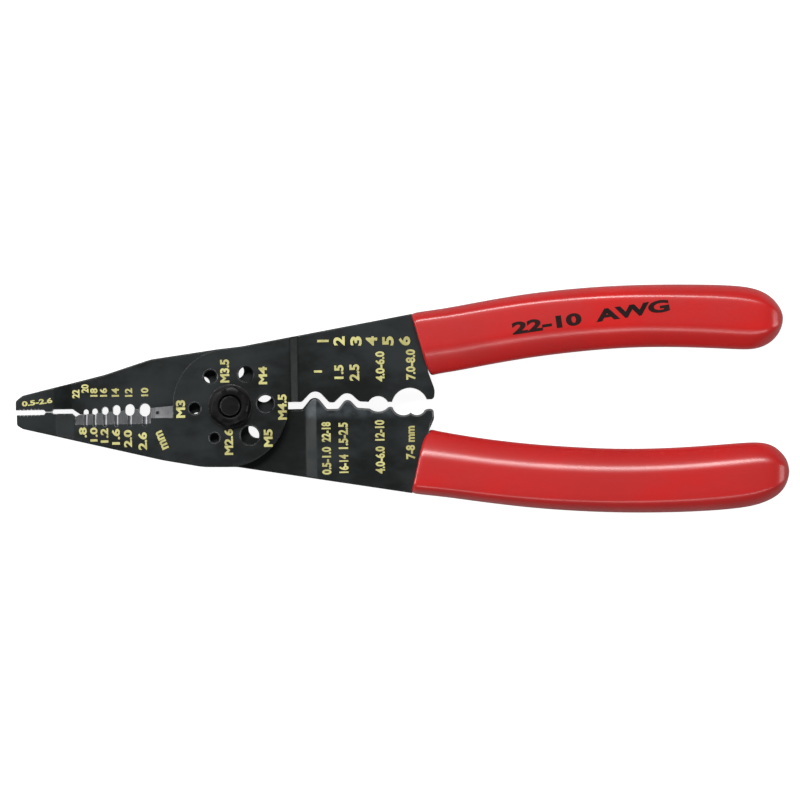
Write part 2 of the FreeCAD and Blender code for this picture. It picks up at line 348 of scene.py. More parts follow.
@dataclass(frozen=True)
class OxideSteel:
    """Black-oxide steel, rubbed bright on its edges, partly as wear and partly as a painted highlight, and
    ground bare on its blades.

    Attributes:
        name: the material's name.
        dark: the oxide where it is thick.
        light: the oxide where hands have thinned it.
        bare: ground steel.
        groove_highlight_colour: near-white colour painted on blade groove walls that face the left, a painted
            highlight.
        rubbed: thin oxide beside the teeth.
        roughness: of thick and of thin oxide.
        gloss: specular level.
        oxide_metal: how metallic the oxide is.
        ground_metal: how much more metallic bare steel is.
        wear_and_highlight: strength of the rubbed edges, which also paint their highlight.
        reach: how far from an edge the rubbed edges and their painted highlight go, in metres.
        grain_scale: grinding lines to the metre.
        grain_depth: strength of their bump.
        ground: where the steel is ground bare.
        teeth: where the oxide is rubbed thin.
    """

    name: str
    dark: Colour = (0.0038, 0.0050, 0.0048, 1.0)
    light: Colour = (0.0120, 0.0160, 0.0165, 1.0)
    bare: Colour = (0.50, 0.50, 0.515, 1.0)
    groove_highlight_colour: Colour = (0.86, 0.85, 0.92, 1.0)
    rubbed: Colour = (0.050, 0.060, 0.066, 1.0)
    roughness: Point = (0.36, 0.55)
    gloss: float = 0.36
    oxide_metal: float = 0.35
    ground_metal: float = 0.6
    wear_and_highlight: float = 0.95
    reach: float = 0.00042
    grain_scale: float = 900.0
    grain_depth: float = 0.10
    ground: tuple[Region, ...] = ()
    teeth: Region | None = None

    def build(self, effects: Effects) -> bpy.types.Material:
        """Makes the material.

        Args:
            effects: the shared node groups.

        Returns:
            The material.
        """
        material, sketch, surface = new_material(self.name)
        handling = sketch.add("ShaderNodeGroup", node_tree=effects.handling)
        # The edge mask paints bare steel on every edge: partly wear, partly a painted highlight.
        wear_and_highlight = sketch.add("ShaderNodeGroup", node_tree=effects.edge_wear_and_highlight)
        sketch.put(self.reach, wear_and_highlight.inputs["Reach"])
        sketch.put(self.wear_and_highlight, wear_and_highlight.inputs["Amount"])
        grain = sketch.add("ShaderNodeGroup", node_tree=effects.grain)
        sketch.put(self.grain_scale, grain.inputs["Scale"])
        surface.inputs["Specular IOR Level"].default_value = self.gloss
        oxide = sketch.mix(handling.outputs["Smears"], self.dark, self.light)
        bare, groove_highlight, worn = self._bare_masks(sketch, wear_and_highlight.outputs["Mask"])
        oxide = sketch.mix(worn, oxide, self.rubbed)
        # Groove walls facing the left get a painted highlight: a near-white colour here and less metal below.
        steel = sketch.mix(groove_highlight, sketch.mix(bare, oxide, self.bare), self.groove_highlight_colour)
        sketch.put(steel, surface.inputs["Base Color"])
        metal = sketch.math("ADD", self.oxide_metal, sketch.math("MULTIPLY", bare, self.ground_metal))
        metal = sketch.math("SUBTRACT", metal, sketch.math("MULTIPLY", groove_highlight, self.ground_metal), True)
        sketch.put(metal, surface.inputs["Metallic"])
        dull = sketch.span(handling.outputs["Smears"], 0.0, 1.0, *self.roughness)
        dull = sketch.math("SUBTRACT", dull, sketch.math("MULTIPLY", handling.outputs["Specks"], 0.08))
        dull = sketch.math("SUBTRACT", dull, sketch.math("MULTIPLY", bare, 0.08))
        sketch.put(dull, surface.inputs["Roughness"])
        sockets = {"Strength": self.grain_depth, "Distance": 0.00004, "Height": grain.outputs["Height"]}
        sketch.put(sketch.add("ShaderNodeBump", sockets).outputs[0], surface.inputs["Normal"])
        return material

    def _bare_masks(self, sketch: Sketch, worn: bpy.types.NodeSocket) -> tuple[object, object, object]:
        """Where the oxide is gone or thin.

        Args:
            sketch: the material's sketch.
            worn: the mask of rubbed edges, partly wear and partly a painted highlight.

        Returns:
            The masks of bare steel, of groove walls with a painted highlight and of rubbed flats beside the
            teeth.
        """
        if not self.ground:
            return worn, 0.0, 0.0
        normal = sketch.add("ShaderNodeNewGeometry").outputs["True Normal"]
        facing = sketch.add("ShaderNodeSeparateXYZ", {0: normal})
        slope = sketch.span(sketch.math("ABSOLUTE", facing.outputs["Z"]), 0.992, 0.97)
        # Groove walls whose normal points to -X, towards the lamps on the left, get a painted highlight.
        across = sketch.span(facing.outputs["X"], -0.25, -0.6)
        axes = sketch.add("ShaderNodeSeparateXYZ", {0: sketch.place()})
        lines = sketch.noise(sketch.place((1.0, 0.08, 0.08)), 2600.0, 3.0, 0.6)
        shade = sketch.span(lines, 0.25, 0.75, 0.62, 1.0)
        bare: object = worn
        groove_highlight: object = 0.0
        for region in self.ground:
            inside = sketch.math("MULTIPLY", region.inside(sketch, axes), slope)
            ground = sketch.math("MULTIPLY", sketch.math("MULTIPLY", inside, shade), region.strength)
            bare = sketch.math("MAXIMUM", bare, ground)
            lit_walls = sketch.math("MULTIPLY", sketch.math("MULTIPLY", inside, across), region.groove_highlight)
            groove_highlight = sketch.math("MAXIMUM", groove_highlight, lit_walls)
        rubbed: object = 0.0
        if self.teeth:
            patchy = sketch.span(sketch.noise(sketch.place(), 420.0, 2.0, 0.5), 0.30, 0.62, 0.3, 1.0)
            rubbed = sketch.math("MULTIPLY", self.teeth.inside(sketch, axes), patchy)
            rubbed = sketch.math("MULTIPLY", rubbed, self.teeth.strength)
        return bare, groove_highlight, rubbed


@dataclass(frozen=True)
class Vinyl:
    """Dipped vinyl with a faint orange peel and a soft gloss.

    Attributes:
        name: the material's name.
        deep: its colour where hands have dulled it.
        bright: its colour elsewhere.
        roughness: of fresh and of handled vinyl.
        gloss: specular level.
        coat: weight of the shiny skin.
        coat_roughness: how blurred the skin's highlights are.
        translucence: share of the light that spreads inside.
        smear_size: smears to the metre.
        peel: strength of the orange peel's bump.
    """

    name: str
    deep: Colour = (0.415, 0.0060, 0.0055, 1.0)
    bright: Colour = (0.525, 0.0095, 0.0082, 1.0)
    roughness: Point = (0.30, 0.43)
    gloss: float = 0.42
    coat: float = 0.62
    coat_roughness: float = 0.24
    translucence: float = 0.06
    smear_size: float = 42.0
    peel: float = 0.16

    def build(self, effects: Effects) -> bpy.types.Material:
        """Makes the material.

        Args:
            effects: the shared node groups.

        Returns:
            The material.
        """
        material, sketch, surface = new_material(self.name)
        handling = sketch.add("ShaderNodeGroup", node_tree=effects.handling)
        sketch.put(self.smear_size, handling.inputs["Size"])
        colour = sketch.mix(handling.outputs["Smears"], self.bright, self.deep)
        sketch.put(colour, surface.inputs["Base Color"])
        dull = sketch.span(handling.outputs["Smears"], 0.0, 1.0, *self.roughness)
        dull = sketch.math("ADD", dull, sketch.math("MULTIPLY", handling.outputs["Specks"], 0.06))
        sketch.put(dull, surface.inputs["Roughness"])
        surface.inputs["Specular IOR Level"].default_value = self.gloss
        surface.inputs["Coat Weight"].default_value = self.coat
        surface.inputs["Coat Roughness"].default_value = self.coat_roughness
        surface.inputs["Subsurface Weight"].default_value = self.translucence
        surface.inputs["Subsurface Radius"].default_value = (0.0020, 0.0004, 0.0003)
        surface.inputs["Subsurface Scale"].default_value = 1.0
        peel = sketch.noise(sketch.place(), 520.0, 2.0, 0.4)
        drift = sketch.noise(sketch.place((0.35, 1.0, 1.0)), 90.0, 2.0, 0.5)
        height = sketch.math("ADD", sketch.math("MULTIPLY", peel, 0.35), drift)
        sockets = {"Strength": self.peel, "Distance": 0.00025, "Height": height}
        sketch.put(sketch.add("ShaderNodeBump", sockets).outputs[0], surface.inputs["Normal"])
        return material


@dataclass(frozen=True)
class Ink:
    """Pad-printed ink, slightly uneven and thinned by rubbing.

    Attributes:
        name: the material's name.
        full: its colour where it lies thick.
        thin: its colour where it is rubbed.
        roughness: where it lies thick.
        gloss: specular level.
        speckle_size: rubbed patches to the metre.
    """

    name: str
    full: Colour
    thin: Colour
    roughness: float = 0.55
    gloss: float = 0.4
    speckle_size: float = 220.0

    def build(self, effects: Effects) -> bpy.types.Material:
        """Makes the material.

        Args:
            effects: the shared node groups.

        Returns:
            The material.
        """
        material, sketch, surface = new_material(self.name)
        handling = sketch.add("ShaderNodeGroup", node_tree=effects.handling)
        sketch.put(self.speckle_size, handling.inputs["Size"])
        surface.inputs["Specular IOR Level"].default_value = self.gloss
        rubbed = sketch.math("MAXIMUM", handling.outputs["Smears"], handling.outputs["Specks"])
        sketch.put(sketch.mix(rubbed, self.full, self.thin), surface.inputs["Base Color"])
        dull = sketch.span(rubbed, 0.0, 1.0, self.roughness, self.roughness - 0.1)
        sketch.put(dull, surface.inputs["Roughness"])
        return material


# ---- mesh helpers ----------------------------------------------------------------------------------------


def finish_mesh(bm: bmesh.types.BMesh, name: str, material: bpy.types.Material, half: Half,
                sharp_deg: float = 35.0) -> bpy.types.Object:
    """Turns a bmesh in millimetres into a finished piece that rides on its half.

    Args:
        bm: the shape about the pivot; it is freed.
        name: the piece's name.
        material: its finish.
        half: the half it moves with.
        sharp_deg: edges that turn more than this stay sharp.

    Returns:
        The piece's object.
    """
    bmesh.ops.remove_doubles(bm, verts=bm.verts, dist=1e-4)
    bmesh.ops.recalc_face_normals(bm, faces=bm.faces)
    for face in bm.faces:
        face.smooth = True
    for edge in bm.edges:
        edge.smooth = edge.calc_face_angle(0.0) < math.radians(sharp_deg)
    bmesh.ops.transform(bm, matrix=to_frame(), verts=bm.verts)
    mesh = bpy.data.meshes.new(name)
    bm.to_mesh(mesh)
    bm.free()
    mesh.materials.append(material)
    piece = bpy.data.objects.new(name, mesh)
    bpy.context.scene.collection.objects.link(piece)
    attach(piece, half.value)
    LOG.info("%s: %d faces on %s", name, len(mesh.polygons), half.value)
    return piece


def spun(profile: Sequence[Point], steps: int) -> bmesh.types.BMesh:
    """Turns a closed profile of radius and height about the pivot's axis.

    Args:
        profile: the corners in order.
        steps: divisions of the full turn.

    Returns:
        The turned solid in millimetres.
    """
    bm = bmesh.new()
    verts = [bm.verts.new((radius, 0.0, height)) for radius, height in profile]
    edges = [bm.edges.new((a, b)) for a, b in zip(verts, verts[1:] + verts[:1])]
    bmesh.ops.spin(bm, geom=verts + edges, cent=(0, 0, 0), axis=(0, 0, 1), angle=math.tau, steps=steps,
                   use_merge=True, use_duplicate=False)
    bmesh.ops.remove_doubles(bm, verts=bm.verts, dist=1e-4)
    flat = [face for face in bm.faces if face.calc_area() < 1e-9]
    bmesh.ops.delete(bm, geom=flat, context="FACES")
    bmesh.ops.recalc_face_normals(bm, faces=bm.faces)
    return bm


def soften(bm: bmesh.types.BMesh, width: float, segments: int, from_deg: float) -> None:
    """Rounds a shape's crisp edges.

    Args:
        bm: the shape.
        width: how far each rounding reaches.
        segments: its divisions.
        from_deg: edges that turn less are left.
    """
    crisp = [edge for edge in bm.edges if edge.calc_face_angle(0.0) > math.radians(from_deg)]
    bmesh.ops.bevel(bm, geom=crisp, offset=width, offset_type="OFFSET", segments=segments, profile=0.5,
                    affect="EDGES", material=-1, clamp_overlap=True)


# ---- levers ----------------------------------------------------------------------------------------------


@dataclass
class Levers:
    """The two stamped levers: their shape is the frame's own, with a finish for each.

    Attributes:
        blade: the stripping blades' ground bevels.
        cutter: the wire cutter's bevel.
        cutter_heel: the duller steel between blade and cutter.
        crimps: the chamfers along the crimping nests.
        teeth: the rubbed flats beside the nests.
    """

    blade: Region = Region((-41.95, -21.7), (-4.5, 3.0), 0.15, groove_highlight=0.6)
    cutter: Region = Region((-20.5, -15.55), (-3.1, 0.6), 1.0, fade=0.3)
    cutter_heel: Region = Region((-21.7, -19.9), (-3.1, 0.6), 0.45, fade=0.3)
    crimps: Region = Region((23.6, 55.4), (-3.9, 2.2), 0.5)
    teeth: Region = Region((19.5, 50.0), (-4.6, 3.0), 0.7, fade=2.2)

    def dress(self, effects: Effects) -> None:
        """Gives both levers black oxide with ground working faces.

        Args:
            effects: the shared node groups.
        """
        edges = (self.blade, self.cutter, self.cutter_heel)
        finishes = {
            "front_lever": OxideSteel("front_lever_oxide", ground=edges),
            "rear_lever": OxideSteel("rear_lever_oxide", ground=(*edges, self.crimps), teeth=self.teeth),
        }
        for node, finish in finishes.items():
            mesh = frame["nodes"][node].data
            mesh.materials.clear()
            mesh.materials.append(finish.build(effects))
            LOG.info("%s: dressed in %s", node, finish.name)


# ---- grips -----------------------------------------------------------------------------------------------


@dataclass
class Grip:
    """A dipped vinyl sleeve, extruded ring by ring from inside its mouth to its closed end.

    Attributes:
        name: the sleeve's name.
        node: the frame node it stands for.
        half: the half it moves with.
        rings: outer and inner edge of the sleeve at stations from the mouth on.
        tip: the middle of the closed end.
        mouth_bend: how far the mouth's inner corner is drawn along the handle.
        bend_from: share of the mouth's width at which that bend starts.
        bend_reach: how far along the sleeve it fades out.
        thickness: over both flats.
        end_radius: rounding of the closed end in side view.
        outer_half: corners of the section from the middle to the outer edge, as (across, height).
        inner_half: the same towards the inner edge.
        lean: drift of the flats outwards at the mouth and at the closed end.
        lip: rounding of the mouth.
        slot_size: width and height of the opening round the tang.
        slot_depth: how far the opening is seen into.
    """

    name: str
    node: str
    half: Half
    rings: Sequence[tuple[Point, Point]]
    tip: Point
    mouth_bend: float
    bend_from: float = 0.72
    bend_reach: float = 8.0
    thickness: float = 10.3
    end_radius: float = 5.0
    outer_half: Sequence[Point] = ((5.1, 5.13), (5.9, 5.0), (6.5, 4.7), (7.5, 3.75), (8.3, 2.4), (8.6, 0.9))
    inner_half: Sequence[Point] = (
        (1.3, 5.13), (2.1, 5.04), (3.1, 4.77), (4.1, 4.33), (5.9, 3.15), (7.6, 1.8), (8.6, 0.6),
    )
    lean: Point = (0.6, -1.3)
    lip: float = 0.7
    slot_size: Point = (11.6, 3.0)
    slot_depth: float = 3.0

    def _matrix(self, ring: tuple[Point, Point], width_cut: float, height: float, along: float) -> Matrix:
        """Placement of the section, drawn at its full size, on one ring.

        Args:
            ring: the ring's outer and inner edge.
            width_cut: how much narrower than the ring it is.
            height: its thickness over the full thickness.
            along: a shift towards the closed end.

        Returns:
            The matrix from the drawn section.
        """
        outer, inner = (Vector((*point, 0.0)) for point in ring)
        across = outer - inner
        width = across.length - width_cut
        across.normalize()
        forward = Vector((across.y, -across.x, 0.0))
        if forward.x < 0:
            forward.negate()
        centre = (outer + inner) / 2 + forward * along
        turn = Matrix((across, forward, Vector((0, 0, 1)))).transposed().to_4x4()
        size = Matrix.Diagonal((width / self._drawn_width(), 1.0, height, 1.0))
        return Matrix.Translation(centre) @ turn @ size

    def _drawn_width(self) -> float:
        """Width of the first ring, at which the section is drawn."""
        (a, b), (c, d) = self.rings[0]
        return math.hypot(a - c, b - d)

    def _section(self, bm: bmesh.types.BMesh) -> bmesh.types.BMFace:
        """Draws the section across the sleeve: a flat back nearer its outer edge and a broad slope inside.

        Args:
            bm: the mesh it is drawn in.

        Returns:
            The section's face.
        """
        stretch = self._drawn_width() / 2 / self.outer_half[-1][0]
        front = [(-across, height) for across, height in reversed(self.inner_half)] + list(self.outer_half)
        back = [(across, -height) for across, height in reversed(front)]
        corners = [bm.verts.new((across * stretch, 0.0, height)) for across, height in front + back]
        return bm.faces.new(corners)

    def _shift_flats(self, bm: bmesh.types.BMesh) -> None:
        """Lets the flats drift from the outer side at the mouth to the inner side at the closed end.

        Args:
            bm: the sleeve.
        """
        start, end = self.rings[0][0][0], self.tip[0]
        out = math.copysign(1.0, self.tip[1])
        for vert in bm.verts:
            along = min(max((vert.co.x - start) / (end - start), 0.0), 1.0)
            drift = self.lean[0] + (self.lean[1] - self.lean[0]) * along
            vert.co.y += out * drift * min(abs(vert.co.z) / (self.thickness / 2), 1.0)

    def _height_at(self, ring: tuple[Point, Point]) -> float:
        """Rounds the thickness off near the closed end.

        Args:
            ring: the ring's outer and inner edge.

        Returns:
            The ring's share of the full thickness.
        """
        middle = (Vector(ring[0]) + Vector(ring[1])) / 2
        left = (Vector(self.tip) - middle).length
        if left >= self.end_radius:
            return 1.0
        return math.sqrt(max(self.end_radius ** 2 - (self.end_radius - left) ** 2, 0.0)) / self.end_radius

    def build(self, material: bpy.types.Material) -> bpy.types.Object:
        """Makes the sleeve and lets it stand for its plain solid.

        Args:
            material: the vinyl.

        Returns:
            The sleeve's object.
        """
        bm = bmesh.new()
        tip_face = self._section(bm)
        mouth = self.rings[0]
        full = self._drawn_width()
        slot_cut, slot_height = full - self.slot_size[0], self.slot_size[1] / self.thickness
        lip = self.lip
        places = [
            self._matrix(mouth, slot_cut, slot_height, self.slot_depth),
            self._matrix(mouth, slot_cut, slot_height, 0.0),
            self._matrix(mouth, 2 * lip, 1 - 2 * lip / self.thickness, 0.0),
            self._matrix(mouth, 0.6 * lip, 1 - 0.6 * lip / self.thickness, 0.3 * lip),
            self._matrix(mouth, 0.0, 1.0, lip),
            self._matrix(mouth, 0.0, 1.0, 3.0 * lip),
        ]
        places += [self._matrix(ring, 0.0, self._height_at(ring), 0.0) for ring in self.rings[1:]]
        bmesh.ops.transform(bm, matrix=places[0], verts=bm.verts)
        for back, on in zip(places, places[1:]):
            grown = bmesh.ops.extrude_face_region(bm, geom=[tip_face])["geom"]
            moved = [g for g in grown if isinstance(g, bmesh.types.BMVert)]
            bmesh.ops.transform(bm, matrix=on @ back.inverted(), verts=moved)
            old = tip_face
            tip_face = next(g for g in grown if isinstance(g, bmesh.types.BMFace))
            # The first face stays as the bottom of the opening, and the others would lie inside the sleeve.
            if old.is_valid and back is not places[0]:
                bmesh.ops.delete(bm, geom=[old], context="FACES_ONLY")
        pole = bmesh.ops.poke(bm, faces=[tip_face])["verts"][0]
        pole.co = Vector((*self.tip, 0.0))
        self._shift_flats(bm)
        self._bend_mouth(bm)
        piece = finish_mesh(bm, self.name, material, self.half, sharp_deg=75.0)
        smooth = piece.modifiers.new("round", "SUBSURF")
        smooth.levels = smooth.render_levels = 2
        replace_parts(piece, self.node)
        return piece

    def _bend_mouth(self, bm: bmesh.types.BMesh) -> None:
        """Draws the mouth's inner corner back along the handle.

        Args:
            bm: the sleeve.
        """
        outer, inner = (Vector(point) for point in self.rings[0])
        across = (inner - outer).normalized()
        span = (inner - outer).length
        for vert in bm.verts:
            spot = Vector(vert.co.xy) - outer
            share = (spot.dot(across) / span - self.bend_from) / (1 - self.bend_from)
            ahead = abs(spot.x * across.y - spot.y * across.x)
            if share > 0 and ahead < self.bend_reach:
                vert.co.x += self.mouth_bend * share ** 2 * (1 - ahead / self.bend_reach)


# ---- pivot -----------------------------------------------------------------------------------------------


@dataclass
class PivotHardware:
    """Slotted shoulder screw, spring washer, plain washer and thin nut.

    Attributes:
        half: the half they move with.
        slot_size: width and depth of the driver slot.
        shoulder_r: radius of the shoulder that the levers turn on.
        crest_r: radius over the thread.
        root_r: radius at the bottom of the thread.
        thread_pitch: from crest to crest.
        shoulder_gap: play of the spring washer on the shoulder.
        thread_gap: play of the plain washer and the nut on the thread.
        across_flats: of the nut.
        nut_turn_deg: how far the nut is turned about the axis.
        turn_steps: divisions of every turned shape.
        levels: lowest and highest point of each node.
        radii: outer radius of each node.
    """

    half: Half = Half.REAR
    slot_size: Point = (1.3, 0.8)
    shoulder_r: float = 3.5
    crest_r: float = 3.0
    root_r: float = 2.72
    thread_pitch: float = 1.0
    shoulder_gap: float = 0.03
    thread_gap: float = 0.02
    across_flats: float = 10.0
    nut_turn_deg: float = 20.0
    turn_steps: int = 96
    levels: dict[str, Point] = field(default_factory=dict)
    radii: dict[str, float] = field(default_factory=dict)

    def __post_init__(self) -> None:
        """Reads every piece's ends and outer radius from the frame."""
        for node in ("pivot_screw", "spring_washer", "plain_washer", "pivot_nut"):
            low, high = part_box(node)
            self.levels[node] = (height_of(low), height_of(high))
            self.radii[node] = (high.x - low.x) / 2 / MM

    def build(self, material: bpy.types.Material) -> None:
        """Makes all four pieces.

        Args:
            material: the oxide of the fasteners.
        """
        self._screw(material)
        self._washer("wave_washer", "spring_washer", self.shoulder_r + self.shoulder_gap, material)
        self._washer("flat_washer", "plain_washer", self.crest_r + self.thread_gap, material)
        self._nut(material)

    def _washer(self, name: str, node: str, inner: float, material: bpy.types.Material) -> None:
        """A stamped ring with softened edges that stands for a frame node.

        Args:
            name: the piece's name.
            node: the node it stands for.
            inner: its bore's radius.
            material: its finish.
        """
        low, high = self.levels[node]
        outer = self.radii[node]
        bm = spun([(inner, low), (outer, low), (outer, high), (inner, high)], self.turn_steps)
        soften(bm, 0.1, 2, 60.0)
        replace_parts(finish_mesh(bm, name, material, self.half), node)

    def _nut(self, material: bpy.types.Material) -> None:
        """A thin hexagon nut, chamfered on both faces and countersunk at its bore.

        Args:
            material: its finish.
        """
        low, high = self.levels["pivot_nut"]
        flat = self.across_flats / 2
        face_r, blank_r = flat - 0.25, flat + 0.4
        bore = self.crest_r + self.thread_gap
        sink, side = 0.3, 0.2
        profile = [(bore, low + sink), (bore + sink, low), (face_r, low), (blank_r, low + side),
                   (blank_r, high - side), (face_r, high), (bore + sink, high), (bore, high - sink)]
        bm = spun(profile, self.turn_steps)
        drop = math.tan(math.radians(30))
        for vert in bm.verts:
            radius = math.hypot(vert.co.x, vert.co.y)
            if radius < flat + 0.2:
                continue
            angle = math.atan2(vert.co.y, vert.co.x)
            off = (angle % (math.pi / 3)) - math.pi / 6
            reach = flat / math.cos(off)
            vert.co.x, vert.co.y = reach * math.cos(angle), reach * math.sin(angle)
            inset = (reach - face_r) * drop
            vert.co.z = high - inset if vert.co.z > (low + high) / 2 else low + inset
        soften(bm, 0.12, 2, 22.0)
        turn = Matrix.Rotation(math.radians(self.nut_turn_deg), 3, "Z")
        bmesh.ops.rotate(bm, cent=(0, 0, 0), matrix=turn, verts=bm.verts)
        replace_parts(finish_mesh(bm, "hex_nut", material, self.half), "pivot_nut")

    def _screw(self, material: bpy.types.Material) -> None:
        """The shoulder screw: slotted head at the back, threaded end at the front.

        Args:
            material: its finish.
        """
        low, high = self.levels["pivot_screw"]
        head_top = self.levels["spring_washer"][0]
        shoulder_top = self.levels["plain_washer"][0]
        head = self.radii["pivot_screw"]
        edge = 0.15
        profile = [(0.0, low), (head - 0.5, low), (head - edge, low + 0.12), (head, low + 0.45),
                   (head, head_top - edge), (head - edge, head_top), (self.shoulder_r, head_top),
                   (self.shoulder_r, shoulder_top)]
        crest, root = self.crest_r, self.root_r
        turns = int((high - 0.45 - shoulder_top) / self.thread_pitch)
        for i in range(turns):
            base = shoulder_top + i * self.thread_pitch
            profile += [(root, base + 0.08), (crest, base + 0.42), (crest, base + 0.58), (root, base + 0.92)]
        profile += [(root, high - 0.42), (2.62, high - 0.12), (2.45, high), (0.0, high)]
        bm = spun(profile, self.turn_steps)
        piece = finish_mesh(bm, "shoulder_screw", material, self.half, 28.0)
        self._cut_slot(piece, low)
        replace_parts(piece, "pivot_screw")

    def _cut_slot(self, piece: bpy.types.Object, low: float) -> None:
        """Cuts the driver slot across the head with a box that is then dropped.

        Args:
            piece: the screw.
            low: height of the head's face.
        """
        width, depth = self.slot_size
        bm = bmesh.new()
        bmesh.ops.create_cube(bm, size=1.0)
        bmesh.ops.scale(bm, vec=(16.0, width, 2 * depth), verts=bm.verts)
        bmesh.ops.translate(bm, vec=(0, 0, low), verts=bm.verts)
        bmesh.ops.transform(bm, matrix=to_frame(), verts=bm.verts)
        mesh = bpy.data.meshes.new("slot_cutter")
        bm.to_mesh(mesh)
        bm.free()
        cutter = bpy.data.objects.new("slot_cutter", mesh)
        bpy.context.scene.collection.objects.link(cutter)
        cut = piece.modifiers.new("slot", "BOOLEAN")
        cut.object, cut.operation, cut.solver = cutter, "DIFFERENCE", "EXACT"
        seen = piece.evaluated_get(bpy.context.evaluated_depsgraph_get())
        carved = bpy.data.meshes.new_from_object(seen)
        piece.modifiers.clear()
        piece.data = carved
        carved.name = piece.name
        bpy.data.objects.remove(cutter)


# ---- printing --------------------------------------------------------------------------------------------


@dataclass(frozen=True)
class Label:
    """One printed size.

    Attributes:
        text: what is printed.
        x: its centre along the tool.
        y: its centre across the tool.
        cap: height of its capitals.
        length: from its first to its last glyph.
        turn: degrees it is turned anticlockwise.
    """

    text: str
    x: float
    y: float
    cap: float
    length: float
    turn: float = 90.0


@dataclass
class Print:
    """Labels on the flat faces of one part, kept as one thin layer of ink.

    Attributes:
        name: the layer's name.
        half: the half it moves with.
        slot: the record's slot of the part it lies on; not used.
        levels: the height of each printed face, with its labels.
        thickness: of the ink's mesh, half of it inside the part.
        weight: how much bolder than the plain font the glyphs are.
    """

    name: str
    half: Half
    slot: Slot
    levels: Sequence[tuple[float, Sequence[Label]]]
    thickness: float = 0.05
    weight: float = 0.038

    def build(self, material: bpy.types.Material) -> bpy.types.Object:
        """Makes the layer.

        Args:
            material: the ink.

        Returns:
            The layer's object.
        """
        bm = bmesh.new()
        for face_z, labels in self.levels:
            for label in labels:
                self._stamp(bm, label, face_z)
        return finish_mesh(bm, self.name, material, self.half, 20.0)

    def _stamp(self, bm: bmesh.types.BMesh, label: Label, face_z: float) -> None:
        """Adds one label's glyphs on a face.

        Args:
            bm: the layer's mesh.
            label: what to print.
            face_z: height of the face.
        """
        curve = bpy.data.curves.new("glyphs", "FONT")
        curve.body = label.text
        curve.resolution_u = 4
        curve.extrude = 0.5
        curve.bevel_depth = self.weight
        curve.bevel_resolution = 0
        holder = bpy.data.objects.new("glyphs", curve)
        bpy.context.scene.collection.objects.link(holder)
        seen = holder.evaluated_get(bpy.context.evaluated_depsgraph_get())
        mesh = bpy.data.meshes.new_from_object(seen)
        low = [min(v.co[i] for v in mesh.vertices) for i in range(2)]
        high = [max(v.co[i] for v in mesh.vertices) for i in range(2)]
        centre = Matrix.Translation((-(low[0] + high[0]) / 2, -(low[1] + high[1]) / 2, 0.0))
        stretch = (label.length / (high[0] - low[0]), label.cap / (high[1] - low[1]), self.thickness, 1.0)
        turn = Matrix.Rotation(math.radians(label.turn), 4, "Z")
        place = Matrix.Translation((label.x, label.y, face_z)) @ turn
        mesh.transform(place @ Matrix.Diagonal(stretch) @ centre)
        bm.from_mesh(mesh)
        bpy.data.objects.remove(holder)
        bpy.data.curves.remove(curve)
        bpy.data.meshes.remove(mesh)


# ---- stage -----------------------------------------------------------------------------------------------


@dataclass(frozen=True)
class Softbox:
    """A rectangular lamp: its place from the view's centre, its sides in millimetres and its watts."""

    name: str
    spot: tuple[float, float, float]
    size: Point
    power: float


